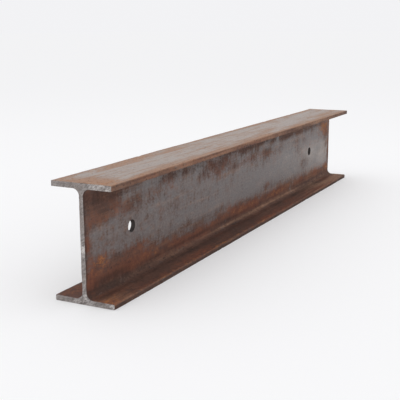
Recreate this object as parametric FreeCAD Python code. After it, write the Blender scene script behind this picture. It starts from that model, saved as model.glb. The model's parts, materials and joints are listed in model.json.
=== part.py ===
"""Short length of hot rolled wide flange steel beam, sawn at both ends, with two bolt holes drilled through its web.

Frame, in millimetres: +X runs along the beam, +Y across the flanges, +Z up. The origin is the centre of the bottom
flange's underside, which is the face that the beam lies on.
"""

import FreeCAD, Part
import math
import os

# Rolled section
DEPTH = 200.0  # over both flanges
FLANGE_WIDTH = 114.0
FLANGE_THICKNESS = 9.5
WEB_THICKNESS = 8.0
ROOT_RADIUS = 12.0  # fillet between the web and each flange
TOE_RADIUS = 1.5  # the rolls leave each flange tip's edges slightly round

# Sawn length
LENGTH = 1250.0

# Bolt holes in the web, for M20 or 3/4 in bolts
HOLE_DIAMETER = 22.0
HOLE_HEIGHT = DEPTH / 2  # on the web's middle line
HOLE_A_END_DISTANCE = 140.0  # from the -X end to the centre of the first hole
HOLE_B_END_DISTANCE = 175.0  # from the +X end to the centre of the second hole

DRILL_OVERRUN = 5.0  # how far the cutting cylinders pass each face of the web

EXTRUSION = FreeCAD.Vector(LENGTH, 0, 0)
START_X = -LENGTH / 2


def point(y, z):
    """A point of the section, in the plane of the -X end."""
    return FreeCAD.Vector(START_X, y, z)


def arc(centre_y, centre_z, radius, from_angle, to_angle):
    """A quarter circle of the outline between two angles in degrees, measured from +Y towards +Z."""

    def at(angle):
        turn = math.radians(angle)
        return point(centre_y + radius * math.cos(turn), centre_z + radius * math.sin(turn))

    return Part.Arc(at(from_angle), at((from_angle + to_angle) / 2), at(to_angle)).toShape()


def section_face():
    """The rolled outline as a face, going round counter-clockwise from the bottom left toe.

    It is two flanges joined by the web: four root fillets, two toes on each flange tip, and straight lines between.
    """
    tip = FLANGE_WIDTH / 2
    web = WEB_THICKNESS / 2
    toe = TOE_RADIUS
    root = ROOT_RADIUS
    bottom_inner = FLANGE_THICKNESS
    top_inner = DEPTH - FLANGE_THICKNESS

    arcs = [
        arc(tip - toe, toe, toe, 270, 360),
        arc(tip - toe, bottom_inner - toe, toe, 0, 90),
        arc(web + root, bottom_inner + root, root, 270, 180),
        arc(web + root, top_inner - root, root, 180, 90),
        arc(tip - toe, top_inner + toe, toe, 270, 360),
        arc(tip - toe, DEPTH - toe, toe, 0, 90),
        arc(-tip + toe, DEPTH - toe, toe, 90, 180),
        arc(-tip + toe, top_inner + toe, toe, 180, 270),
        arc(-web - root, top_inner - root, root, 90, 0),
        arc(-web - root, bottom_inner + root, root, 0, -90),
        arc(-tip + toe, bottom_inner - toe, toe, 90, 180),
        arc(-tip + toe, toe, toe, 180, 270),
    ]

    outline = []
    for piece, following in zip(arcs, arcs[1:] + arcs[:1]):
        end = piece.valueAt(piece.LastParameter)
        start = following.valueAt(following.FirstParameter)
        outline += [piece, Part.makeLine(end, start)]
    return Part.Face(Part.Wire(outline))


def web_hole(x):
    """The cylinder that a drill clears through the web at x, with its axis across the beam."""
    reach = WEB_THICKNESS / 2 + DRILL_OVERRUN
    start = FreeCAD.Vector(x, -reach, HOLE_HEIGHT)
    return Part.makeCylinder(HOLE_DIAMETER / 2, 2 * reach, start, FreeCAD.Vector(0, 1, 0))


def beam():
    """The section carried along the length, with both web holes drilled."""
    holes = [
        web_hole(START_X + HOLE_A_END_DISTANCE),
        web_hole(START_X + LENGTH - HOLE_B_END_DISTANCE),
    ]
    return section_face().extrude(EXTRUSION).cut(holes)


def main():
    os.makedirs("parts", exist_ok=True)
    solid = beam().Solids[0]
    solid.exportStep("parts/wide_flange_beam.step")
    print("volume, cm3:", round(solid.Volume / 1000, 2), "valid:", solid.isValid())


main()
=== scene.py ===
# %% [markdown]
# # A short length of rolled steel beam
#
# The object is one piece of hot rolled wide flange beam: a web between two flanges, sawn square at both
# ends, with a bolt hole drilled through the web near each end. The steel left the mill covered in blue-grey
# scale and has since lain about long enough to rust in patches. This lesson builds its visible surface as
# one closed mesh worked out with numpy, then gives it three finishes: rusting mill scale, sawn steel, and
# the wall of a drilled hole.

# %% The frame
import json
import math

import bpy
import numpy as np
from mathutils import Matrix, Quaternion, Vector
from mathutils.geometry import delaunay_2d_cdt


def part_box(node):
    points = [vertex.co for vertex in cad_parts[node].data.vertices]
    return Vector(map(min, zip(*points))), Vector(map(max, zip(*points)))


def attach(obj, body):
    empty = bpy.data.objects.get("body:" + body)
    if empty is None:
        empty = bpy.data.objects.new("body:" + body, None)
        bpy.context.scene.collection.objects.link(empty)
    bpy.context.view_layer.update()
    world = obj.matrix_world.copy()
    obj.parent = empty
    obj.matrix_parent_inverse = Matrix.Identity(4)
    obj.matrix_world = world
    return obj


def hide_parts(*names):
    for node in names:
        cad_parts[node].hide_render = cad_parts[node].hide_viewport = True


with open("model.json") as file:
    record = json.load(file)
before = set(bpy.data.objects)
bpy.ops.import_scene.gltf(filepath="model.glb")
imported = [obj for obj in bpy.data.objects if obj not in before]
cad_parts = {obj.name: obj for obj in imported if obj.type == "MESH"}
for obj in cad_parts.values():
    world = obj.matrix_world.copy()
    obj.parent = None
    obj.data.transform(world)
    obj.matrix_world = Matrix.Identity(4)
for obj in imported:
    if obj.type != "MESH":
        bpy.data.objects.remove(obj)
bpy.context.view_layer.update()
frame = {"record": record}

# %% [markdown]
# ## Sizes
#
# Every size below is in millimetres, because that is how the section is rolled and drawn. The overall sizes
# are read from the construction model, and the holes from its list of mounts, so the surface always fits
# what it covers. The mesh is scaled to metres only when it is handed to Blender.

# %% Sizes of the section
MM = 0.001

lowest, highest = (np.array(corner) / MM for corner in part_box("wide_flange_beam"))
LENGTH, WIDTH, DEPTH = highest - lowest
MOUNTS = {mount["name"]: mount for mount in frame["record"]["mounts"]}
HOLES = [MOUNTS["web_hole_a"], MOUNTS["web_hole_b"]]
HOLE_X = [hole["pos_m"][0] / MM for hole in HOLES]
WEB = HOLES[0]["dims"]["length_mm"]
FLANGE = 9.5
ROOT = 12.0  # radius of the fillet between the web and a flange
TOE = 0.9  # radius of the edges of a flange tip

print(f"length {LENGTH:.1f}, width {WIDTH:.1f}, depth {DEPTH:.1f}, web {WEB:.1f}, flange {FLANGE:.1f}")

# %% [markdown]
# ## The rolled outline
#
# A rolled section is the same all along its length, so its surface is one outline carried along a straight
# path. The outline has two planes of symmetry. It is enough to draw a quarter of it, from the middle of the
# underside out to the toe, back along the inside of the flange, round the root fillet and up to the middle
# of the web, and then to mirror that quarter twice. On the straight stretches the points crowd towards the
# arcs. Without that, smooth shading would spread each arc's turn over the flat beside it.

# %% A quarter of the outline
HOLE_PATCH = 24.0  # half the side of the square of web that is remade around each hole


def run(start, end, steps, crowd="both"):
    """Points on a straight line, without its last one.

    To crowd the points at both ends, the share of the way gone is half of one less the cosine over half a
    turn. To crowd them at the start it is one less the cosine over a quarter turn, and at the end its sine.
    """
    k = np.arange(steps) / steps
    share = {
        "both": (1 - np.cos(math.pi * k)) / 2,
        "start": 1 - np.cos(math.pi / 2 * k),
        "end": np.sin(math.pi / 2 * k),
        "none": k,
    }[crowd]
    return np.array(start) + share[:, None] * (np.array(end) - np.array(start))


def bend(centre, radius, first, last, steps):
    """Points on an arc, without its last one: the centre plus the radius times the angle's cosine and sine."""
    angle = np.radians(first + (last - first) * np.arange(steps) / steps)
    return np.array(centre) + radius * np.stack([np.cos(angle), np.sin(angle)], axis=1)


def quarter():
    """The outline as (y, z) from the middle of the underside to the middle of the web, on the +Y side."""
    tip, web = WIDTH / 2, WEB / 2
    return np.concatenate([
        run((0, 0), (tip - TOE, 0), 8, "end"),
        bend((tip - TOE, TOE), TOE, -90, 0, 3),
        run((tip, TOE), (tip, FLANGE - TOE), 4),
        bend((tip - TOE, FLANGE - TOE), TOE, 0, 90, 3),
        run((tip - TOE, FLANGE), (web + ROOT, FLANGE), 10),
        bend((web + ROOT, FLANGE + ROOT), ROOT, 270, 180, 8),
        run((web, FLANGE + ROOT), (web, DEPTH / 2 - HOLE_PATCH), 11, "start"),
        run((web, DEPTH / 2 - HOLE_PATCH), (web, DEPTH / 2), 8, "none"),
        [(web, DEPTH / 2)],
    ])


print(len(quarter()), "points on a quarter of the outline")

# %% [markdown]
# ## The whole outline
#
# The quarter is mirrored in the plane at half depth, and the half that gives is mirrored in the web's
# middle plane. The distance gone round at each point is kept too, for laying the surface out flat later.

# %% Mirroring the quarter twice
def mirrored(points, size, axis):
    """The points followed by their mirror image in reverse, without repeating the one on the mirror.

    A point's image has the given size, less the point's own place, on the one axis.
    """
    image = points[-2::-1].copy()
    image[:, axis] = size - image[:, axis]
    return np.concatenate([points, image])


OUTLINE = mirrored(mirrored(quarter(), DEPTH, 1), 0, 0)[:-1]
COLUMNS = len(OUTLINE)
steps_round = np.linalg.norm(OUTLINE - np.roll(OUTLINE, 1, axis=0), axis=1)
ROUND = np.concatenate([[0], np.cumsum(np.roll(steps_round, -1))])  # ends where the outline closes

print(COLUMNS, "points round the outline,", round(float(ROUND[-1]), 1), "mm")

# %% [markdown]
# ## Along the beam
#
# The other direction of the surface runs from one sawn end to the other. The stations are close together at
# the ends, where the saw left a small ragged edge, and even elsewhere. They also fall on the sides of the
# square around each hole, so that the square can be cut out of the grid cleanly.

# %% Stations along the length
PATCH_STEPS = 16  # cells along each side of the square around a hole
END_STEPS = np.array([0, 0.3, 0.7, 1.3, 2.2, 3.5])  # distances from a sawn end


def stretch(first, last, steps):
    """Places along the beam from first up to last, without last, evenly spaced."""
    return run((first, 0), (last, 0), steps, "none")[:, 0]


STATIONS = np.concatenate([
    -LENGTH / 2 + END_STEPS[:-1],
    stretch(-LENGTH / 2 + END_STEPS[-1], HOLE_X[0] - HOLE_PATCH, 32),
    stretch(HOLE_X[0] - HOLE_PATCH, HOLE_X[0] + HOLE_PATCH, PATCH_STEPS),
    stretch(HOLE_X[0] + HOLE_PATCH, HOLE_X[1] - HOLE_PATCH, 230),
    stretch(HOLE_X[1] - HOLE_PATCH, HOLE_X[1] + HOLE_PATCH, PATCH_STEPS),
    stretch(HOLE_X[1] + HOLE_PATCH, LENGTH / 2 - END_STEPS[-1], 40),
    LENGTH / 2 - END_STEPS[::-1],
])
print(len(STATIONS), "stations,", len(STATIONS) * COLUMNS, "points on the rolled surface")

# %% [markdown]
# ## The rolled skin
#
# The skin is the outline repeated at each station. Its points are numbered row by row, so the four corners
# of every cell come from one rule. Seen from +X the outline goes round counter-clockwise, and with the
# corners in this order each face looks outwards. The outward direction at a point is its neighbours' line
# turned by a quarter turn.

# %% The skin's grid
rows = len(STATIONS)
skin_points = np.empty((rows, COLUMNS, 3))
skin_points[:, :, 0] = STATIONS[:, None]
skin_points[:, :, 1:] = OUTLINE

number = np.arange(rows * COLUMNS).reshape(rows, COLUMNS)
after = np.roll(number, -1, axis=1)
skin_cells = np.stack([number[:-1], after[:-1], after[1:], number[1:]], axis=2)

tangent = np.roll(OUTLINE, -1, axis=0) - np.roll(OUTLINE, 1, axis=0)
outward = np.stack([tangent[:, 1], -tangent[:, 0]], axis=1)
outward /= np.linalg.norm(outward, axis=1)[:, None]
skin_normals = np.zeros_like(skin_points)
skin_normals[:, :, 1:] = outward

print(skin_cells.shape[0] * skin_cells.shape[1], "cells in the skin")

# %% [markdown]
# ## Random relief by adding waves
#
# Rolled steel is never quite flat, and a sawn face is full of small tears. Both are made in the same way,
# by adding cosine waves of random direction and phase. The size of the features along each axis sets how
# long the waves are. The mill leaves long shallow waves in the flats, and small unevenness between them.

# %% A field of random waves
ROLL_WAVE = 0.14  # height of the long waves
HAMMER = 0.05  # height of the smaller unevenness


def waves(points, sizes, count, seed):
    """A smooth random height at each point, about 1 high on average.

    Each wave is the cosine of the point's place along a random direction, in turns, plus a random phase.
    Their sum is divided by the root of half their number.
    """
    random = np.random.default_rng(seed)
    turns = random.normal(size=(count, 3)) / np.array(sizes)
    phase = random.uniform(0, 2 * math.pi, count)
    height = np.zeros(points.shape[:-1])
    for turn, start in zip(turns, phase):
        height += np.cos(2 * math.pi * (points @ turn) + start)
    return height / math.sqrt(count / 2)


def rolled_relief(points):
    """Height of the rolled surface over the true section: long waves plus short ones."""
    return (
        ROLL_WAVE * waves(points, (260, 70, 70), 24, seed=11)
        + HAMMER * waves(points, (28, 16, 16), 40, seed=12)
    )


relief = rolled_relief(skin_points)
print(f"rolled relief from {relief.min():.2f} to {relief.max():.2f} mm")

# %% [markdown]
# ## Knocked edges
#
# Handling leaves small dents along the edges of the flanges. A dent is a bell curve along the beam, times
# another that fades away from the flange's edge, and it only ever goes inwards. The skin's points then move
# along their outward directions, by the relief less the dents.

# %% Dents in the flange tips
DENTS = 70
DENT_DEPTH = 0.7
DENT_REACH = 2.2  # how far a dent spreads from the edge


def dents(points):
    """How deep the knocks at the flange tips go at each point.

    Each is its depth times e to the minus of two squares added: the distance along the beam over its half
    length, and the distance from the edge over the reach. Where several meet, the deepest counts.
    """
    random = np.random.default_rng(5)
    corner_y = (WIDTH / 2) * random.choice([-1, 1], DENTS)
    corner_z = random.choice([0, FLANGE, DEPTH - FLANGE, DEPTH], DENTS)
    place = random.uniform(-LENGTH / 2, LENGTH / 2, DENTS)
    half_length = random.uniform(3, 9, DENTS)
    deep = DENT_DEPTH * random.uniform(0.15, 1, DENTS) ** 2
    depth = np.zeros(points.shape[:-1])
    for y, z, x, half, most in zip(corner_y, corner_z, place, half_length, deep):
        away = np.hypot(points[..., 1] - y, points[..., 2] - z) / DENT_REACH
        depth = np.maximum(depth, most * np.exp(-((points[..., 0] - x) / half) ** 2 - away**2))
    return depth


skin_points += skin_normals * (relief - dents(skin_points))[..., None]
print(f"deepest dent {dents(skin_points).max():.2f} mm")

# %% [markdown]
# ## The web around a bolt hole
#
# A square of web around each hole is taken out of the grid and filled with rings that change from the
# square to the circle. Each ring point lies on the straight line from a point of the square to the point of
# the circle at the same angle.

# %% From the square to the circle
HOLE_EDGE = 0.35  # the drill's edge is broken by this much
RINGS = 7  # between the square and the circle


def square_loop():
    """Steps (along x, up z) of the square's edge, from its low corner, counter-clockwise as -Y sees it."""
    side = np.arange(PATCH_STEPS)
    full = np.full(PATCH_STEPS, PATCH_STEPS)
    none = np.zeros(PATCH_STEPS, int)
    return np.concatenate([
        np.stack([side, none], axis=1),
        np.stack([full, side], axis=1),
        np.stack([full - side, full], axis=1),
        np.stack([none, full - side], axis=1),
    ])


LOOP = square_loop()
LOOP_AT = (LOOP / PATCH_STEPS * 2 - 1) * HOLE_PATCH  # the same steps in mm from the hole's centre
LOOP_ANGLE = np.arctan2(LOOP_AT[:, 1], LOOP_AT[:, 0])


def hole_rings(hole, side):
    """Rings from just inside the square to the hole's edge, on the web's face at side -1 or 1.

    The share of the way in is the sine of a quarter turn's share, so the cells are small beside the hole.
    """
    radius = hole["dims"]["r_mm"] + HOLE_EDGE
    circle = radius * np.stack([np.cos(LOOP_ANGLE), np.sin(LOOP_ANGLE)], axis=1)
    share = np.sin(np.arange(1, RINGS + 1) / RINGS * math.pi / 2)[:, None, None]
    flat = LOOP_AT * (1 - share) + circle * share
    rings = np.empty((RINGS, len(LOOP), 3))
    rings[:, :, 0] = hole["pos_m"][0] / MM + flat[:, :, 0]
    rings[:, :, 1] = side * WEB / 2
    rings[:, :, 2] = hole["pos_m"][2] / MM + flat[:, :, 1]
    return rings


print(len(LOOP), "points round each hole")

# %% [markdown]
# ## The wall of a bolt hole
#
# A few more rings go over the drilled edge and through the web, and meet the rings of the other side. A
# drill that breaks through leaves a lip, so the last ring on the far side is a little narrower.

# %% From one face of the web to the other
WALL_DEPTHS = np.array([0.35, 2.0, 4.0, 6.0, WEB - 0.9, WEB - 0.2])
LIP = 0.7  # how far the drill's lip stands into the hole


def wall_rings(hole):
    """Rings of the hole's wall, from the -Y to the +Y face: a circle at each depth, narrower at the lip."""
    radius = np.full((len(WALL_DEPTHS), 1), hole["dims"]["r_mm"])
    radius[-1] -= LIP
    rings = np.empty((len(WALL_DEPTHS), len(LOOP), 3))
    rings[:, :, 0] = hole["pos_m"][0] / MM + radius * np.cos(LOOP_ANGLE)
    rings[:, :, 1] = -WEB / 2 + WALL_DEPTHS[:, None]
    rings[:, :, 2] = hole["pos_m"][2] / MM + radius * np.sin(LOOP_ANGLE)
    return rings


def bands(loops):
    """The four corners of each cell between one loop and the next, from point numbers or from sheet places."""
    following = np.roll(loops, -1, axis=1)
    corners = np.stack([loops[:-1], following[:-1], following[1:], loops[1:]], axis=2)
    return corners.reshape(-1, 4, *loops.shape[2:])


print(len(WALL_DEPTHS), "rings in each wall")

# %% [markdown]
# ## The sawn ends
#
# Each end was cut through with a coarse band saw. The face is a field of points one millimetre apart inside
# the outline. They stand in a triangular grid, where every point has six neighbours at the same distance,
# and each is then moved a little at random so that no rows show.

# %% Points on a sawn face
SAW_POINT_GAP = 1.0
ROW_GAP = 0.87  # the rows of a triangular grid are this share of the gap apart
SHAKE = 0.2  # share of the gap that a point may move
EDGE_MARGIN = 0.55  # share of the gap kept free along the outline


def inside_section(y, z, margin):
    """True where a point of the end face is inside the section by at least the margin.

    Both symmetries fold the point into one quarter, where it lies in the flange, in the web, or in the
    corner between them and outside the fillet's circle.
    """
    across, outer = np.abs(y), DEPTH / 2 - np.abs(z - DEPTH / 2)
    flange = (outer > margin) & (outer < FLANGE - margin) & (across < WIDTH / 2 - margin)
    web = (across < WEB / 2 - margin) & (outer > margin)
    corner = (across < WEB / 2 + ROOT) & (outer < FLANGE + ROOT) & (outer > margin)
    fillet = corner & (np.hypot(across - WEB / 2 - ROOT, outer - FLANGE - ROOT) > ROOT + margin)
    return flange | web | fillet


def face_points(seed):
    """Shaken points (y, z) of a triangular grid, those that are inside the section."""
    gap = SAW_POINT_GAP
    y, z = np.meshgrid(np.arange(-WIDTH / 2, WIDTH / 2, gap), np.arange(0, DEPTH, gap * ROW_GAP))
    y = y + gap / 2 * (np.arange(len(y)) % 2)[:, None]
    random = np.random.default_rng(seed)
    points = np.stack([y.ravel(), z.ravel()], axis=1)
    points += random.uniform(-SHAKE, SHAKE, points.shape) * gap
    return points[inside_section(points[:, 0], points[:, 1], EDGE_MARGIN * gap)]


print(len(face_points(69)), "points inside a sawn face")

# %% [markdown]
# ## Saw lines and tears
#
# The saw's lines are a slanted cosine whose phase is disturbed by random waves. Where the teeth pulled
# metal out there are tears, which are the upper half of another field of waves. A real blade's marks are
# under a millimetre apart and wouldn't show, so these are drawn coarser. The outline's own edge is drawn in
# unevenly, as a worn corner.

# %% Relief of a sawn face
SAW_PITCH = 2.6
SAW_DEPTH = 0.05
SAW_SLANT = math.radians(28)
SAW_WANDER = 1.5  # how far the lines stray, in radians of their own wave
TEAR_DEPTH = 0.10
EDGE_PULL = 0.25
ENDS = ((0, -1), (-1, 1))  # row of the skin and direction of X, at each sawn end


def sawn_relief(points, seed):
    """How far the sawn surface stands out of its true plane: slanted saw lines less tears about 3 mm across."""
    flat = points * [0, 1, 1]
    wander = waves(flat, (1, 40, 25), 12, seed)
    along = flat[..., 1] * math.cos(SAW_SLANT) + flat[..., 2] * math.sin(SAW_SLANT)
    lines = np.cos(2 * math.pi * along / SAW_PITCH + SAW_WANDER * wander)
    tears = np.maximum(waves(flat, (1, 4, 3), 40, seed + 1), 0)
    return SAW_DEPTH * lines - TEAR_DEPTH * tears


for row, end in ENDS:
    edge = skin_points[row]
    pull = EDGE_PULL * (0.7 + 0.3 * waves(edge, (9, 9, 9), 16, seed=40))
    edge -= skin_normals[row] * pull[:, None]
    edge[:, 0] += end * sawn_relief(edge, 60 + end)
    print(f"edge at {end * LENGTH / 2:.0f} drawn in by {pull.min():.2f} to {pull.max():.2f} mm")

# %% [markdown]
# ## Joining a sawn face
#
# Blender's own Delaunay tool joins the points into triangles and keeps the outline's points where they are,
# so the face meets the skin without a gap. A triangle that came out facing into the beam is turned over.

# %% A sawn face as triangles
def sawn_face(edge, end):
    """New points, triangles and the triangles' flat corners of the face at end (-1 or 1) of the beam.

    The edge's own points come first, so a triangle's corner below their number is a point of the skin. A
    triangle's turn is the cross product of two of its sides, and has to have the sign of the end.
    """
    inner = face_points(70 + end)
    flat = np.concatenate([edge[:, 1:], inner])
    loop = [(k, (k + 1) % len(edge)) for k in range(len(edge))]
    found = delaunay_2d_cdt([Vector(place) for place in flat.tolist()], loop, [], 1, 1e-6)
    source = np.array([origins[0] for origins in found[3]])
    triangles = source[np.array(found[2])]
    one, two = (flat[triangles[:, k]] - flat[triangles[:, 0]] for k in (1, 2))
    turned = (one[:, 0] * two[:, 1] - one[:, 1] * two[:, 0]) * end < 0
    triangles[turned] = triangles[turned][:, ::-1]
    points = np.column_stack([np.zeros(len(inner)), inner])
    points[:, 0] = end * (LENGTH / 2 + sawn_relief(points, 60 + end))
    return points, triangles, flat[triangles]


sawn_faces = {end: sawn_face(skin_points[row], end) for row, end in ENDS}
print(sum(len(face[1]) for face in sawn_faces.values()), "triangles on the sawn faces")

# %% [markdown]
# ## The surface laid out flat
#
# When the finish is baked to an image, each face needs its own place on a flat sheet. The skin unrolls onto
# the lower part, with the beam's length across the sheet. Both sawn ends stand above it at a larger scale.
# The wall of a hole goes inside the hole's own circle, as a ring that narrows with depth.

# %% Places on the sheet
SHEET_MARGIN = 0.001
SHEET_LENGTH = 0.998  # share of the sheet's width that the beam's length fills
SHEET_ROUND = 0.775  # share of its height that the way round the outline fills
END_SCALE = 2.1  # a sawn end is drawn this many times as large as the length
END_LEFT = {-1: 0.01, 1: 0.51}
END_BOTTOM = 0.786
WALL_ON_SHEET = np.linspace(0.97, 0.3, len(WALL_DEPTHS) + 2)[:, None]  # shares of the hole's radius


def on_sheet(along, round_at):
    """Sheet place of a point of the skin: shares of the length and of the way round, scaled to their part."""
    across = SHEET_MARGIN + SHEET_LENGTH * (along / LENGTH + 0.5)
    up = 2 * SHEET_MARGIN + SHEET_ROUND * round_at / ROUND[-1]
    return np.stack(np.broadcast_arrays(across, up), axis=-1)


def round_on_web(side, up):
    """Distance round the outline of a point on the web: that of the web's middle, plus or minus the height."""
    middle = int(np.argmin(np.hypot(OUTLINE[:, 0] - side * WEB / 2, OUTLINE[:, 1] - DEPTH / 2)))
    return ROUND[middle] + side * up


def end_on_sheet(flat, end):
    """Sheet place of a point of a sawn end, turned so that its depth goes across the sheet."""
    across = END_LEFT[end] + flat[..., 1] * END_SCALE / LENGTH
    up = END_BOTTOM + (flat[..., 0] + WIDTH / 2) * END_SCALE / LENGTH
    return np.stack([across, up], axis=-1)


print("both ends reach up to", round(float(END_BOTTOM + WIDTH * END_SCALE / LENGTH), 3), "of the sheet")

# %% [markdown]
# ## Cutting the squares and adding the rings
#
# All points go into one list: the skin first, then the rings of each hole, then the two sawn faces. Each
# kind of finish keeps its own list of faces, with the sheet places of their corners.

# %% Filling the squares around the holes
SKIN, SAWN, DRILLED = 0, 1, 2  # numbers of the finishes

point_parts = [skin_points.reshape(-1, 3)]
faces = {SKIN: [], SAWN: [], DRILLED: []}
sheet = {SKIN: [], SAWN: [], DRILLED: []}
keep_cell = np.ones(skin_cells.shape[:2], bool)


def add_points(new):
    """Adds points to the list and returns their numbers, in the same shape."""
    first = sum(len(part) for part in point_parts)
    point_parts.append(new.reshape(-1, 3))
    return first + np.arange(len(point_parts[-1])).reshape(new.shape[:-1])


def web_columns(side):
    """Column numbers of the web's middle square on one side, from its lower edge to its upper one."""
    on_face = np.abs(OUTLINE[:, 0] - side * WEB / 2) < 1e-6
    height = OUTLINE[:, 1] - DEPTH / 2
    found = np.flatnonzero(on_face & (np.abs(height) < HOLE_PATCH + 1e-6))
    return found if side > 0 else found[::-1]


for hole, x in zip(HOLES, HOLE_X):
    first = int(np.argmin(np.abs(STATIONS - (x - HOLE_PATCH))))
    edges = {}
    for side in (-1, 1):
        columns = web_columns(side)
        keep_cell[first : first + PATCH_STEPS, columns.min() : columns.max()] = False
        rings = hole_rings(hole, side)
        rings[:, :, 1] += side * rolled_relief(rings)
        corner = number[first + LOOP[:, 0], columns[LOOP[:, 1]]]
        loops = np.concatenate([corner[None], add_points(rings)])
        flat = np.concatenate([LOOP_AT[None] + [x, 0], rings[:, :, [0, 2]] - [0, DEPTH / 2]])
        spots = on_sheet(flat[:, :, 0], round_on_web(side, flat[:, :, 1]))
        order = slice(None, None, -side)  # the +Y face is seen from the other side, so its corners go backwards
        faces[SKIN].append(bands(loops)[:, order])
        sheet[SKIN].append(bands(spots)[:, order])
        edges[side] = loops[-1]
    wall = add_points(wall_rings(hole))
    faces[DRILLED].append(bands(np.concatenate([edges[-1][None], wall, edges[1][None]])))
    reach = (hole["dims"]["r_mm"] + HOLE_EDGE) * WALL_ON_SHEET
    up = round_on_web(-1, reach * np.sin(LOOP_ANGLE))
    sheet[DRILLED].append(bands(on_sheet(x + reach * np.cos(LOOP_ANGLE), up)))

print(np.count_nonzero(~keep_cell), "cells of the skin give way to rings")

# %% [markdown]
# ## The whole surface
#
# The cells that are left of the skin and the sawn faces join the lists. Points of the skin that lay inside
# a square are no longer used, and are left out by renumbering. Nothing may go below the floor.

# %% Joining the parts
faces[SKIN].append(skin_cells[keep_cell])
spots = on_sheet(STATIONS[:, None], ROUND[None])
corners = np.stack([spots[:-1, :-1], spots[:-1, 1:], spots[1:, 1:], spots[1:, :-1]], axis=2)
sheet[SKIN].append(corners[keep_cell])
for row, end in ENDS:
    new_points, triangles, flat = sawn_faces[end]
    lookup = np.concatenate([number[row], add_points(new_points)])
    faces[SAWN].append(lookup[triangles])
    sheet[SAWN].append(end_on_sheet(flat, end))

all_points = np.concatenate(point_parts)
all_points[:, 2] = np.maximum(all_points[:, 2], 0)
quads = np.concatenate(faces[SKIN] + faces[DRILLED])
triangles = np.concatenate(faces[SAWN])
finish = np.repeat(
    [SKIN, DRILLED, SAWN], [sum(len(part) for part in faces[kind]) for kind in (SKIN, DRILLED, SAWN)]
)

used, inverse = np.unique(np.concatenate([quads.ravel(), triangles.ravel()]), return_inverse=True)
all_points = all_points[used]
quads = inverse[: quads.size].reshape(quads.shape)
triangles = inverse[quads.size :].reshape(triangles.shape)
print(len(all_points), "points,", 2 * len(quads) + len(triangles), "triangles in all")

# %% [markdown]
# ## The mesh
#
# Blender takes the points in metres, the faces as lists of point numbers, and the finish's number and the
# sheet places as plain arrays. Shading is smooth, except across edges that turn by more than 38 degrees,
# such as those of the sawn ends.

# %% Handing it to Blender
SHARP = math.radians(38)

mesh = bpy.data.meshes.new("rolled_beam")
mesh.from_pydata((all_points * MM).tolist(), [], quads.tolist() + triangles.tolist())
mesh.polygons.foreach_set("material_index", finish.astype(np.int32))
spots = np.concatenate([part.reshape(-1, 2) for part in sheet[SKIN] + sheet[DRILLED] + sheet[SAWN]])
mesh.uv_layers.new(name="OFBake").data.foreach_set("uv", spots.ravel().astype(np.float32))
mesh.shade_smooth()
mesh.set_sharp_from_angle(angle=SHARP)
mesh.update()



def placed(name, data):
    """A new object in the scene, made of the data."""
    made = bpy.data.objects.new(name, data)
    bpy.context.scene.collection.objects.link(made)
    return made


beam = placed("rolled_beam", mesh)
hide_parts("wide_flange_beam")
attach(beam, "root")
print("size of the beam, m:", [round(side, 4) for side in beam.dimensions])

# %% [markdown]
# ## Where the rust is
#
# Rust does not fall evenly. It gathers where water stands: on the lower flange, along the foot of the web,
# at the sawn ends and wherever the scale was knocked. Each patch is a soft egg shape in space, written down
# in millimetres. A row holds its centre along the beam from the -X end, across it and up, its half
# sizes along, across and up, and how strong it is.

# %% Red rust
FRONT = -WEB / 2  # the web's face on the -Y side
TOP = DEPTH  # the upper face of the top flange
SHELF = FLANGE  # the upper face of the bottom flange
ROOF = DEPTH - FLANGE  # the underside of the top flange
ALL = 2000  # a half size long enough to cover the whole beam

PATCHES = {}
PATCHES["red"] = [
    (6, FRONT, 98, 9, 6, 18, 0.75), (14, FRONT, 42, 24, 6, 26, 0.95), (12, FRONT, 130, 9, 6, 8, 0.6),
    (95, FRONT, 140, 85, 6, 15, 0.46), (50, FRONT, 168, 70, 6, 18, 0.36), (45, FRONT, 60, 24, 6, 13, 0.8),
    (130, FRONT, 58, 80, 6, 10, 0.46), (150, FRONT, 34, 160, 6, 13, 0.8),
    (330, FRONT, 28, 130, 6, 11, 0.85), (250, FRONT, 146, 60, 6, 12, 0.4),
    (470, FRONT, 148, 46, 6, 20, 0.5), (560, FRONT, 160, 60, 6, 12, 0.42), (560, FRONT, 36, 60, 6, 12, 0.9),
    (640, FRONT, 32, 110, 6, 10, 0.95), (690, FRONT, 140, 110, 6, 9, 0.48),
    (820, FRONT, 32, 100, 6, 10, 0.9), (765, FRONT, 58, 28, 6, 8, 0.5), (1080, FRONT, 32, 150, 6, 9, 0.75),
    (450, FRONT, 104, 10, 6, 8, 0.5), (1198, FRONT, 154, 48, 6, 20, 0.9), (1225, FRONT, 38, 24, 6, 16, 0.9),
    (1243, FRONT, 100, 10, 6, 60, 0.6), (0, -40, SHELF, 34, 24, 4, 0.8),
    (700, -52, SHELF, 150, 10, 4, 0.75), (330, -48, SHELF, 100, 12, 4, 0.85),
    (150, -52, SHELF, 90, 8, 4, 0.7), (1000, -50, SHELF, 130, 12, 4, 0.75),
    (560, -20, SHELF, 130, 8, 5, 0.62), (30, -25, SHELF, 60, 12, 5, 0.7), (60, 35, SHELF, 110, 18, 4, 0.9),
    (1180, -22, SHELF, 60, 10, 5, 0.85), (900, -32, SHELF, 120, 8, 4, 0.6), (625, -57, 4, ALL, 2, 6, 0.35),
    (300, -57, 196, 420, 2, 6, 0.45),
]
print(len(PATCHES["red"]), "patches of red rust")
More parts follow.
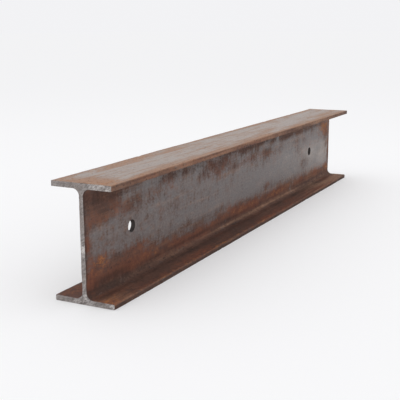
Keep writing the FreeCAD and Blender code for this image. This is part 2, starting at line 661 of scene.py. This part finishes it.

# %% [markdown]
# ## Brown film, painted shade and fresh rust
#
# Under the red rust lies a thin brown film, which covers most of the foot of the web and the lower flange.
# A brown band along the top of the web, just under the top flange, is painted shade. The newest rust is
# orange, in small blooms near the ends and along wet edges.

# %% Brown and orange
PATCHES["brown"] = [
    # The first patch here is painted shade under the top flange, near the -X end.
    (45, FRONT, 172, 85, 8, 18, 1.3), (20, FRONT, 150, 40, 6, 40, 0.8), (625, FRONT, 20, ALL, 8, 17, 1.3),
    (700, FRONT, 125, 90, 6, 14, 0.45), (100, FRONT, 35, 150, 8, 22, 1.3),
    (620, FRONT, 30, 170, 8, 16, 1.1), (330, FRONT, 166, 100, 6, 16, 0.66),
    # Painted shade under the top flange: the patch at 640 mm here and the one at 930 mm six lines down.
    (500, FRONT, 152, 100, 6, 26, 0.78), (640, FRONT, 172, 200, 6, 12, 0.9),
    (730, FRONT, 142, 120, 6, 15, 0.66), (150, FRONT, 56, 140, 6, 20, 0.55),
    (120, FRONT, 140, 110, 6, 18, 0.72), (60, FRONT, 146, 70, 6, 26, 0.95),
    (30, FRONT, 45, 50, 6, 24, 1.05), (1180, FRONT, 175, 60, 6, 12, 0.7),
    (1035, FRONT, 72, 40, 6, 22, 0.48), (985, FRONT, 118, 36, 6, 26, 0.44), (0, FRONT, 90, 14, 6, 80, 0.9),
    (1244, FRONT, 100, 12, 6, 80, 0.8), (1222, FRONT, 128, 24, 6, 36, 0.72),
    (930, FRONT, 170, 260, 6, 12, 0.95), (625, FRONT, 100, ALL, 6, ALL, 0.1),
    (330, FRONT, 115, 260, 6, 40, 0.36), (110, FRONT, 95, 120, 6, 40, 0.44),
    (400, FRONT, 48, 120, 6, 14, 0.72), (880, FRONT, 40, 160, 6, 14, 0.6), (765, FRONT, 58, 30, 6, 9, 0.6),
    (625, -35, SHELF, ALL, 40, 5, 1.4), (625, 35, SHELF, ALL, 40, 5, 1.2), (625, -57, 4, ALL, 3, 6, 1.2),
    (625, -57, 195, ALL, 2, 6, 1.2), (625, 57, 5, ALL, 5, 8, 1.1), (625, 57, 195, ALL, 2, 6, 1.1),
    (625, 0, 0, ALL, 60, 3, 1.1), (625, -35, ROOF, ALL, 40, 5, 1.1), (625, 35, ROOF, ALL, 40, 5, 1.1),
]
PATCHES["orange"] = [
    (44, FRONT, 62, 16, 6, 10, 0.85), (10, -40, SHELF, 26, 18, 4, 0.8), (15, -35, TOP, 30, 22, 2, 0.62),
    (10, 44, TOP, 40, 10, 2, 0.7), (15, 15, TOP, 40, 30, 3, 0.35), (90, -50, TOP, 60, 7, 3, 0.55),
    (170, 42, TOP, 120, 12, 3, 0.5), (1195, FRONT, 152, 46, 6, 15, 0.8), (1228, FRONT, 36, 20, 6, 12, 0.7),
    (860, -50, TOP, 150, 8, 3, 0.42), (620, FRONT, 33, 60, 6, 7, 0.5), (860, FRONT, 31, 80, 6, 7, 0.46),
    (430, -55, SHELF, 330, 3, 2, 0.62), (1000, 48, TOP, 150, 10, 3, 0.35), (280, -53, TOP, 60, 5, 3, 0.4),
    (200, FRONT, 33, 90, 6, 7, 0.36), (60, 35, SHELF, 60, 12, 4, 0.5),
]
print(len(PATCHES["brown"]), "patches of brown film,", len(PATCHES["orange"]), "blooms of fresh rust")

# %% [markdown]
# ## Streaks and stains, with painted highlight and painted shade
#
# On the upper face the film is light and drawn out along the beam, as rollers and rubbing left it. A thin
# pale line along the root fillet is a painted highlight. Dark stains have run down from the top of the web.
# The dark band right under the top flange, the darkening on the root fillet and the darkening along the
# lower edge of the bottom flange's tip are painted shade.

# %% Light streaks and dark stains, with painted highlight and painted shade
PATCHES["streak"] = [
    (625, -53, TOP, ALL, 13, 1.5, 1.05), (625, 55, TOP, ALL, 13, 1.5, 0.95),
    (8, -5, TOP, 40, 50, 1.5, 1.35), (500, -30, TOP, 260, 9, 1.5, 0.7), (280, 36, TOP, 200, 10, 1.5, 0.85),
    (900, 30, TOP, 190, 12, 1.5, 0.55), (1120, -28, TOP, 160, 12, 1.5, 0.72),
    (200, -34, TOP, 90, 10, 1.5, 0.72), (700, 12, TOP, 120, 8, 1.5, 0.55),
    (1245, 0, TOP, 25, 60, 1.5, 0.85), (625, 0, TOP, ALL, 60, 1.5, 0.42),
    # This line's two rows are a painted highlight: the pale line along the root fillet on each side.
    (700, -6.5, 14.1, 330, 2.0, 2.0, 0.8), (625, 9, 14, ALL, 4, 3, 0.4),
    (1160, -40, SHELF, 140, 22, 3, 1.0), (20, -45, SHELF, 40, 16, 3, 0.55), (625, -57, 194, ALL, 2, 4, 0.5),
    (625, -57, 7, ALL, 2, 3, 0.22), (1160, -57, 6, 150, 3, 4, 0.62), (1090, FRONT, 34, 190, 6, 14, 0.46),
]
PATCHES["dark"] = [
    (320, FRONT, 168, 70, 6, 10, 0.62), (400, FRONT, 162, 50, 6, 14, 0.7),
    (480, FRONT, 158, 46, 6, 18, 0.8), (560, FRONT, 162, 60, 6, 14, 0.7), (460, FRONT, 135, 28, 6, 14, 0.6),
    (443, FRONT, 101, 8, 6, 6, 0.95), (258, FRONT, 126, 10, 6, 9, 0.8), (280, FRONT, 63, 9, 6, 8, 0.75),
    (95, FRONT, 62, 14, 6, 9, 0.65), (170, FRONT, 76, 16, 6, 9, 0.6), (620, FRONT, 138, 50, 6, 12, 0.58),
    (700, FRONT, 138, 60, 6, 10, 0.55), (930, FRONT, 126, 34, 6, 12, 0.62),
    (1045, FRONT, 74, 9, 6, 26, 0.46), (1000, FRONT, 110, 8, 6, 30, 0.4), (60, FRONT, 28, 60, 6, 8, 1.0),
    # Painted shade under the top flange: the patch at 740 mm here and at 50 mm on the next line.
    (740, FRONT, 170, 160, 6, 8, 0.75), (225, FRONT, 52, 50, 6, 12, 0.56),
    (350, FRONT, 62, 80, 6, 30, 0.44), (0, FRONT, 100, 4, 6, 200, 1.5), (50, FRONT, 170, 70, 6, 14, 0.8),
    # Painted shade on the root fillet: 750 and 480 mm here, 60 mm two lines down, 380 mm on the last line.
    (150, FRONT, 118, 80, 6, 24, 0.44), (750, -4, 23, 260, 3, 3, 0.5), (480, -13, 10, 330, 3, 2, 0.8),
    (625, -22, SHELF, ALL, 8, 2.5, 0.8), (1235, -57, 195, 20, 3, 8, 0.9), (600, -40, SHELF, 260, 8, 3, 0.5),
    # Painted shadow: the first patch on this line darkens the bottom flange tip's lower edge at the floor.
    (625, -57, 2, ALL, 3, 3.5, 1.7), (700, -57, 198, 500, 3, 3, 0.48), (60, -7, 17, 110, 6, 7, 1.25),
    (380, -4, 24, 300, 4, 4, 0.85),
]
print(len(PATCHES["streak"]), "streaks,", len(PATCHES["dark"]), "dark stains")

# %% [markdown]
# ## Marks and painted glints on the sawn ends, dust and painted sheen
#
# The sawn ends have bright spots, which are painted glints where a burr or a tear catches the light, and
# are tarnished elsewhere. The far one has dulled all over. Pale weathered oxide lies like dust on the upper
# face. On the far part of the web the same pale coat is painted sheen.

# %% Bright metal and painted glints, tarnish, dust and painted sheen
# Painted glints: bright spots where the near end's burrs and tears catch the light.
PATCHES["bare_and_glint"] = [
    (0, -53, 5, 3, 5, 4, 0.95), (0, 0, 92, 3, 4, 6, 0.8), (0, -34, 195, 3, 12, 6, 0.62),
    (0, -50, 192, 3, 6, 4, 0.7), (0, 0, 15, 3, 8, 12, 0.5), (0, 20, 4, 3, 20, 4, 0.45),
]
PATCHES["tarnish"] = [
    (0, 44, 196, 3, 16, 6, 0.35), (0, 5, 192, 3, 10, 8, 0.45), (0, 3, 160, 3, 3, 40, 0.5),
    (0, 40, 5, 3, 20, 5, 0.3), (0, 4, 60, 3, 3, 30, 0.2), (LENGTH, 0, 100, 3, 60, 100, 0.6),
]
PATCHES["dust_and_sheen"] = [
    # Painted sheen: the rows on the web at 1090, 930 and 1205 mm lighten its far part.
    (625, 0, TOP, ALL, 200, 0.8, 1.4), (1090, FRONT, 92, 170, 6, 36, 0.5),
    (930, FRONT, 96, 110, 6, 28, 0.3), (1205, FRONT, 82, 50, 6, 32, 0.85), (1150, -57, 195, 150, 3, 6, 0.4),
]
print({kind: len(PATCHES[kind]) for kind in ("bare_and_glint", "tarnish", "dust_and_sheen")}, "patches")

# %% [markdown]
# ## Rust on the other side
#
# The +Y side and the underside rust in the same way. Their patches are drawn at random between limits, with
# a fixed seed for each batch, so that they come out the same every time.

# %% Patches at random
BACK = WEB / 2  # the web's face on the +Y side
UNDER = 0  # the underside of the beam


def random_patches(count, seed, across, up, half_lengths, half_heights, amounts):
    """Rows like those listed above, each number drawn evenly between its two limits."""
    random = np.random.default_rng(seed)
    limits = [(0, LENGTH), (across, across), up, half_lengths, (7, 7), half_heights, amounts]
    return np.stack([random.uniform(*pair, count) for pair in limits], axis=1)


PATCHES["red"] = np.concatenate([
    PATCHES["red"],
    random_patches(16, 21, BACK, (26, 40), (50, 160), (7, 14), (0.55, 0.85)),
    random_patches(12, 22, BACK, (60, 165), (20, 80), (8, 22), (0.35, 0.62)),
    random_patches(12, 23, 45, (SHELF, SHELF), (40, 120), (5, 6), (0.45, 0.75)),
    random_patches(14, 24, 20, (UNDER, UNDER), (30, 110), (3, 4), (0.4, 0.8)),
    random_patches(14, 25, -30, (UNDER, UNDER), (30, 110), (3, 4), (0.4, 0.8)),
])
PATCHES["dark"] = np.concatenate([
    PATCHES["dark"],
    random_patches(16, 26, BACK, (90, 175), (10, 60), (6, 18), (0.4, 0.65)),
    random_patches(8, 27, BACK, (24, 70), (10, 80), (5, 10), (0.4, 0.65)),
])
PATCHES["brown"] = np.concatenate([
    PATCHES["brown"],
    [(625, BACK, 22, ALL, 8, 16, 0.85), (625, BACK, 178, ALL, 8, 10, 0.7)],
    random_patches(12, 28, BACK, (120, 175), (40, 140), (8, 22), (0.5, 0.8)),
])
print(sum(len(rows_of_kind) for rows_of_kind in PATCHES.values()), "patches in all")

# %% [markdown]
# ## From patches to numbers on the mesh
#
# The amount at a point is the strongest of the patches there, made a little uneven by waves about 100 mm
# long. Each kind is kept on the mesh as an attribute with one number for each point, which the finishes
# read.

# %% One number for each point
FIRST_SEED = 31
UNEVEN = 0.14  # how far the waves move an amount up or down


def amount(points, patches, seed):
    """The strongest patch at each point: its amount times e to the minus half the squared distance.

    The distance is counted in half sizes of the patch.
    """
    place = points + [LENGTH / 2, 0, 0]
    strongest = np.zeros(len(points))
    for row in np.asarray(patches):
        away = (place - row[:3]) / row[3:6]
        strongest = np.maximum(strongest, row[6] * np.exp(-(away**2).sum(1) / 2))
    return strongest * (1 + UNEVEN * waves(points, (110, 40, 40), 24, seed))


for seed, (kind, patches) in enumerate(PATCHES.items(), FIRST_SEED):
    values = amount(all_points, patches, seed).astype(np.float32)
    mesh.attributes.new(kind, "FLOAT", "POINT").data.foreach_set("value", values)
    print(f"{kind}: {values.mean():.2f} on average, {values.max():.2f} at most")

# %% [markdown]
# ## Building a finish
#
# A finish is a small network of nodes. One helper adds a node, sets its inputs, and joins it to the ones
# before. Colours are written as sRGB hex values, as in any drawing program, and turned to the linear
# numbers that the renderer wants.

# %% Colours and nodes
def linear(text):
    """An sRGB hex colour as linear red, green, blue and full alpha.

    Each part over 0.04045 is moved by 0.055, divided by 1.055 and raised to 2.4; a smaller one is over
    12.92.
    """
    parts = [int(text[k : k + 2], 16) / 255 for k in (1, 3, 5)]
    return (*[c / 12.92 if c <= 0.04045 else ((c + 0.055) / 1.055) ** 2.4 for c in parts], 1)


def add(tree, kind, inputs, **settings):
    """Adds a node. Each input is a plain value or another node's output. Returns its first live output."""
    made = tree.nodes.new(kind)
    for name, value in settings.items():
        setattr(made, name, value)
    for name, value in inputs.items():
        if isinstance(value, bpy.types.NodeSocket):
            tree.links.new(value, made.inputs[name])
        else:
            made.inputs[name].default_value = value
    return next((output for output in made.outputs if output.enabled), None)


def new_finish(name):
    """A new material on the beam. Returns its tree, its Principled shader and the place on the beam."""
    material = bpy.data.materials.new(name)
    material.use_nodes = True
    beam.data.materials.append(material)
    tree = material.node_tree
    place = tree.nodes.new("ShaderNodeTexCoord").outputs["Object"]
    return tree, tree.nodes["Principled BSDF"], place


print("mid grey #808080 is", round(linear("#808080")[0], 3), "in linear light")

# %% [markdown]
# ## Patterns, masks and coats
#
# Patterns are measured in millimetres: the place on the beam is divided by the size of the feature along
# each axis before it goes into the noise, so a long thin size draws the pattern out. A mask says where
# something lies, from the numbers kept on the mesh and a pattern that makes its edges ragged. A coat is a
# colour laid over another where a mask or a pattern is high.

# %% Patterns, masks and coats
def grain(tree, place, size, detail, tilt=0.0):
    """Noise with features of about the given size in mm along each axis, its 0.3 to 0.7 stretched to 0 to 1."""
    inputs = {"Vector": place, "Scale": [side * MM for side in size], "Rotation": (tilt, 0, 0)}
    vector = add(tree, "ShaderNodeMapping", inputs, vector_type="TEXTURE")
    inputs = {"Vector": vector, "Scale": 1.0, "Detail": detail, "Roughness": 0.6}
    noise = add(tree, "ShaderNodeTexNoise", inputs)
    return add(tree, "ShaderNodeMapRange", {"Value": noise, "From Min": 0.3, "From Max": 0.7})


def mixed(tree, shares):
    """Several patterns added up, each times its share, and 0.2 to 0.8 of that stretched to 0 to 1."""
    total = 0.0
    for pattern, share in shares:
        total = add(tree, "ShaderNodeMath", {0: pattern, 1: share, 2: total}, operation="MULTIPLY_ADD")
    return add(tree, "ShaderNodeMapRange", {"Value": total, "From Min": 0.2, "From Max": 0.8})


def mask(tree, kind, shares, spread, low, high):
    """Where a kind of patch lies: its number on the mesh, moved up or down by a pattern, and cut off smoothly.

    The pattern moves it by half the spread each way. It is none at low and full at high.
    """
    pattern = mixed(tree, shares)
    stored = add(tree, "ShaderNodeAttribute", {}, attribute_name=kind).node.outputs["Fac"]
    moved = add(tree, "ShaderNodeMath", {0: pattern, 1: spread, 2: stored}, operation="MULTIPLY_ADD")
    inputs = {"Value": moved, "From Min": low + spread / 2, "From Max": high + spread / 2}
    return add(tree, "ShaderNodeMapRange", inputs, interpolation_type="SMOOTHSTEP")


def coat(tree, under, over, where, most=1.0, between=None):
    """A colour laid over another, in proportion to a pattern and at most so much.

    Each colour is hex text or another coat. With two levels in between, it is none at the first and full at
    the second, with a smooth change.
    """
    under, over = (linear(colour) if isinstance(colour, str) else colour for colour in (under, over))
    first, last = between or (0.0, 1.0)
    inputs = {"Value": where, "From Min": first, "From Max": last, "To Max": most}
    curve = "SMOOTHSTEP" if between else "LINEAR"
    strength = add(tree, "ShaderNodeMapRange", inputs, interpolation_type=curve)
    return add(tree, "ShaderNodeMix", {0: strength, 6: under, 7: over}, data_type="RGBA")  # 6, 7: its colours


# %% [markdown]
# ## Mill scale: its patterns
#
# Mill scale is the blue-grey oxide that forms on steel while it is rolled hot. It is nearly black, and its
# sheen is what looks grey, more so along the beam where it is seen at a low angle. It wears in blotches a
# hand wide, in mottling of about a centimetre and in fine lines along the rolling. Water drips down it.
# Real pits and flecks are under a millimetre across, so here they are drawn at about 5 mm to show.

# %% Patterns of the mill scale
tree, shader, place = new_finish("mill_scale")
blotch = grain(tree, place, (80, 30, 34), 3)
cloud = grain(tree, place, (150, 24, 60), 2)
mottle = grain(tree, place, (13, 8, 9), 4)
fine = grain(tree, place, (6, 4, 4), 3)
fleck = grain(tree, place, (5, 4, 3.5), 1)
lines = grain(tree, place, (500, 3.5, 3.5), 2)
long = grain(tree, place, (170, 8, 8), 4)
drip = grain(tree, place, (8, 8, 28), 3)
print(len(tree.nodes), "nodes so far")

# %% [markdown]
# ## Sound scale, with dust and painted sheen on it
#
# The oxide changes slowly between a brown and a blue black, with lighter mottling, pale rolling lines, and
# specks both darker and lighter. Dust is a coat of pale grey-brown, greyer in some clouds than in others.
# On the far part of the web the same coat is painted sheen.

# %% Colour of sound scale
colour = coat(tree, "#51403a", "#474141", blotch)
colour = coat(tree, colour, "#604f49", mottle, 0.45)
colour = coat(tree, colour, "#6a605c", lines, 0.25, (0.2, 1.0))
colour = coat(tree, colour, "#33292a", fine, 0.75, (0.5, 1.0))
colour = coat(tree, colour, "#6b5f5a", fine, 0.6, (0.5, 0.0))

# A pale coat: dust on the upper face, and painted sheen on the far part of the web.
dust_and_sheen_colour = coat(tree, "#83746a", "#8d8681", mixed(tree, [(cloud, 0.6), (long, 0.4)]))
dust_and_sheen_colour = coat(tree, dust_and_sheen_colour, "#9a8878", mottle, 0.25)
dust_and_sheen = mask(tree, "dust_and_sheen", [(cloud, 0.5), (mottle, 0.5)], 0.3, 0.0, 1.0)
colour = coat(tree, colour, dust_and_sheen_colour, dust_and_sheen)
print(len(tree.nodes), "nodes so far")

# %% [markdown]
# ## Rust over the scale
#
# The rust goes on in the order in which it forms: the brown film, light streaks, red rust, and fresh orange
# rust in flecks. Dark stains and pits come last. The film and the stains also carry painted shade, and the
# streaks a painted highlight along the root fillet. Rust is rough and has almost no sheen, so it shows
# its own colour where scale shows the light around it.

# %% Colour of the rust
# The brown mask holds the brown film and the painted shade under the top flange.
brown_film_and_shade = mask(tree, "brown", [(mottle, 0.35), (drip, 0.4), (fine, 0.25)], 0.5, 0.0, 1.05)
brown_mix = mixed(tree, [(blotch, 0.4), (long, 0.2), (mottle, 0.4)])
brown = coat(tree, "#4f372e", "#6b4a3c", brown_mix)
colour = coat(tree, colour, brown, brown_film_and_shade, 0.9)

# The streak mask also paints the pale line along the root fillet, a painted highlight.
streak = mask(tree, "streak", [(long, 0.5), (mottle, 0.2), (cloud, 0.3)], 0.8, 0.0, 1.2)
tan = coat(tree, "#986e53", "#a8856c", mottle)
colour = coat(tree, colour, tan, streak, 0.75)

red = mask(tree, "red", [(mottle, 0.4), (fine, 0.3), (blotch, 0.3)], 0.5, 0.12, 1.05)
rust = coat(tree, "#5e3327", "#885036", mixed(tree, [(mottle, 0.4), (fine, 0.6)]))
colour = coat(tree, colour, rust, red, 0.8)

fresh = mask(tree, "orange", [(fleck, 0.6), (mottle, 0.4)], 1.1, 0.5, 1.1)
colour = coat(tree, colour, "#a06a3e", fresh, 0.75)

# The dark mask holds stains and painted shade: under the top flange, on the root fillet, at the bottom tip.
stain_and_shade = mask(tree, "dark", [(drip, 0.3), (fine, 0.4), (mottle, 0.3)], 0.8, 0.35, 1.1)
colour = coat(tree, colour, "#30231e", stain_and_shade, 0.6)
colour = coat(tree, colour, "#2c2320", fleck, 0.6, (0.8, 1.0))
tree.links.new(colour, shader.inputs["Base Color"])
print(len(tree.nodes), "nodes so far")

# %% [markdown]
# ## Sheen and grit
#
# Where there is rust the sheen fades and the surface turns rough. Iron oxide bends light more than paint
# does, so its IOR is above the usual 1.5. The mottling stands up a little everywhere, and rust adds grit of
# its own.

# %% Sheen and grit of the mill scale
SCALE_IOR = 1.85
ROUGHNESS = (0.45, 0.85)  # of sound scale and of rust
SHEEN = (0.5, 0.16)
MOTTLE_HEIGHT = 0.05  # mm
GRIT_HEIGHT = 0.07  # mm, where there is rust

# The masks joined here carry painted shade and a painted highlight as well as rust, and make those rough too.
rust_and_painted_light = 0.0
for kind in (brown_film_and_shade, red, streak, fresh):
    rust_and_painted_light = add(tree, "ShaderNodeMath", {0: rust_and_painted_light, 1: kind}, operation="MAXIMUM")
shader.inputs["IOR"].default_value = SCALE_IOR
for name, (sound, rusted) in (("Roughness", ROUGHNESS), ("Specular IOR Level", SHEEN)):
    inputs = {"Value": rust_and_painted_light, "To Min": sound, "To Max": rusted}
    level = add(tree, "ShaderNodeMapRange", inputs, interpolation_type="SMOOTHSTEP")
    tree.links.new(level, shader.inputs[name])

rough = add(tree, "ShaderNodeMath", {0: rust_and_painted_light, 1: GRIT_HEIGHT}, operation="MULTIPLY")
grit = add(tree, "ShaderNodeMath", {0: fine, 1: rough}, operation="MULTIPLY")
height = add(tree, "ShaderNodeMath", {0: mottle, 1: MOTTLE_HEIGHT, 2: grit}, operation="MULTIPLY_ADD")
bump = add(tree, "ShaderNodeBump", {"Height": height, "Distance": MM, "Strength": 1.0})
tree.links.new(bump, shader.inputs["Normal"])
print(len(tree.nodes), "nodes in the mill scale")

# %% [markdown]
# ## Sawn steel
#
# A band saw leaves bare carbon steel: a dull grey metal whose tears catch the light at many angles, so that
# it looks mottled. It keeps the metal's default IOR. Tears are about 3 mm by 9 mm here, where real ones are
# a third of that, so that they show. Bright spots are bare metal drawn lighter where a burr or a tear
# catches the light, a painted glint, and tarnish lies in other spots.

# %% The sawn finish
TEAR_TILT = math.radians(-35)

tree, shader, place = new_finish("sawn_steel")
torn = grain(tree, place, (9, 7, 3.0), 4, TEAR_TILT)
fine = grain(tree, place, (2.5, 2.5, 2.5), 2)
wide = grain(tree, place, (30, 30, 40), 2)
ragged = [(torn, 0.6), (fine, 0.4)]
colour = coat(tree, "#6f6967", "#b8b3b0", torn)
colour = coat(tree, colour, "#5c5654", fine, 0.5, (0.5, 1.0))
colour = coat(tree, colour, "#8a7a70", wide, 0.3)
colour = coat(tree, colour, "#6e5d54", mask(tree, "tarnish", ragged, 0.8, 0.2, 0.9), 0.7)
# The brightest coat paints glints on the sawn end.
colour = coat(tree, colour, "#cfcac6", mask(tree, "bare_and_glint", ragged, 0.8, 0.3, 0.9), 0.85)
tree.links.new(colour, shader.inputs["Base Color"])
shader.inputs["Metallic"].default_value = 0.85  # a thin oxide has begun to dull the metal
shader.inputs["Roughness"].default_value = 0.5
bump = add(tree, "ShaderNodeBump", {"Height": torn, "Distance": 0.2 * MM, "Strength": 1.0})
tree.links.new(bump, shader.inputs["Normal"])
print(len(tree.nodes), "nodes in the sawn steel")

# %% [markdown]
# ## The drilled wall
#
# The wall of a drilled hole was bright once and has gone brown-black, with little sheen left. The drill
# left fine rings round it. They are about 1.2 mm apart, coarser than a real feed of 0.2 mm, so that they
# show.

# %% The drilled finish
tree, shader, place = new_finish("drilled_steel")
rings = grain(tree, place, (40, 1.2, 40), 1)
colour = coat(tree, "#221b19", "#433a36", rings)
tree.links.new(colour, shader.inputs["Base Color"])
shader.inputs["Roughness"].default_value = 0.5
shader.inputs["Specular IOR Level"].default_value = 0.3
print([material.name for material in mesh.materials])

# %% [markdown]
# ## The camera
#
# The camera stands beyond the -X end, a little above the beam, and looks down along its -Y side. Its
# direction is given by a turn from +X towards +Y, a dip below level, and a slight roll.

# %% Setting up the camera
YAW, PITCH, ROLL = math.radians(26.957), math.radians(12.381), math.radians(-0.242)
STAND = (-1.5896, -0.6989, 0.4305)  # metres
LENS, SENSOR = 69.5, 36  # mm

camera_data = bpy.data.cameras.new("camera")
camera_data.sensor_width = SENSOR
camera_data.lens = LENS
camera = placed("camera", camera_data)
camera.location = STAND
ahead = Vector((math.cos(YAW) * math.cos(PITCH), math.sin(YAW) * math.cos(PITCH), -math.sin(PITCH)))
camera.rotation_euler = (ahead.to_track_quat("-Z", "Y") @ Quaternion((0, 0, 1), ROLL)).to_euler()
bpy.context.scene.camera = camera
print("camera looks along", [round(part, 3) for part in ahead])

# %% [markdown]
# ## The floor
#
# The beam lies in a white studio, on a floor so wide that it has no edge in view. To the camera the floor
# is less white than to the light that bounces off it, and gives off a little light of its own. That stands
# for the fill from cards that are out of view, and keeps the shadow beside the beam pale.

# %% Laying the floor
FLOOR_HALF = 200.0  # metres
FLOOR_WHITE = 0.93  # how white the floor is to bounced light
FLOOR_SEEN = 0.70  # how white it is to the camera, before its own glow
FLOOR_GLOW = 0.235


def to_camera(tree, lit, seen):
    """A number that is lit for most rays and seen for rays from the camera."""
    from_camera = add(tree, "ShaderNodeLightPath", {})  # its first output is Is Camera Ray
    return add(tree, "ShaderNodeMix", {"Factor": from_camera, "A": lit, "B": seen})


floor_mesh = bpy.data.meshes.new("floor")
floor_corners = [(x * FLOOR_HALF, y * FLOOR_HALF, 0) for x, y in ((-1, -1), (1, -1), (1, 1), (-1, 1))]
floor_mesh.from_pydata(floor_corners, [], [(0, 1, 2, 3)])
floor = placed("floor", floor_mesh)

material = bpy.data.materials.new("studio_floor")
material.use_nodes = True
floor_mesh.materials.append(material)
tree = material.node_tree
tree.nodes.clear()
paint = add(tree, "ShaderNodeBsdfDiffuse", {"Color": to_camera(tree, FLOOR_WHITE, FLOOR_SEEN)})
glow = add(tree, "ShaderNodeEmission", {"Strength": to_camera(tree, 0.0, FLOOR_GLOW)})
both = add(tree, "ShaderNodeAddShader", {0: paint, 1: glow})
add(tree, "ShaderNodeOutputMaterial", {"Surface": both})
print("floor", [round(side) for side in floor.dimensions], "m")

# %% [markdown]
# ## The light
#
# The light comes from all round, as inside a white tent, with one soft box overhead that gives the floor
# its slight glow near the beam. Rays from the camera see the sky at the same tone as the distant floor, so
# no horizon shows.

# %% Sky and soft box
SKY = 0.95
SKY_TINT = (0.99, 0.99, 1.01, 1)  # a trace bluer than white, in linear light
SOFT_BOX_WIDTH = 2.2
SOFT_BOX_POWER = 9.5
SOFT_BOX_AT = (-0.2, 0.2, 3.0)

world = bpy.data.worlds.new("studio")
bpy.context.scene.world = world
world.use_nodes = True
background = world.node_tree.nodes["Background"]
level = to_camera(world.node_tree, SKY, SKY * FLOOR_SEEN + FLOOR_GLOW)
world.node_tree.links.new(level, background.inputs["Strength"])
background.inputs["Color"].default_value = SKY_TINT

lamp_data = bpy.data.lights.new("soft_box", "AREA")
lamp_data.shape = "DISK"
lamp_data.size = SOFT_BOX_WIDTH
lamp_data.energy = SOFT_BOX_POWER
lamp = placed("soft_box", lamp_data)
lamp.location = SOFT_BOX_AT
lamp.rotation_euler = (-lamp.location).to_track_quat("-Z", "Y").to_euler()

bpy.context.scene.view_settings.view_transform = "Standard"
print("sky", SKY, "to most rays,", round(SKY * FLOOR_SEEN + FLOOR_GLOW, 3), "to the camera")
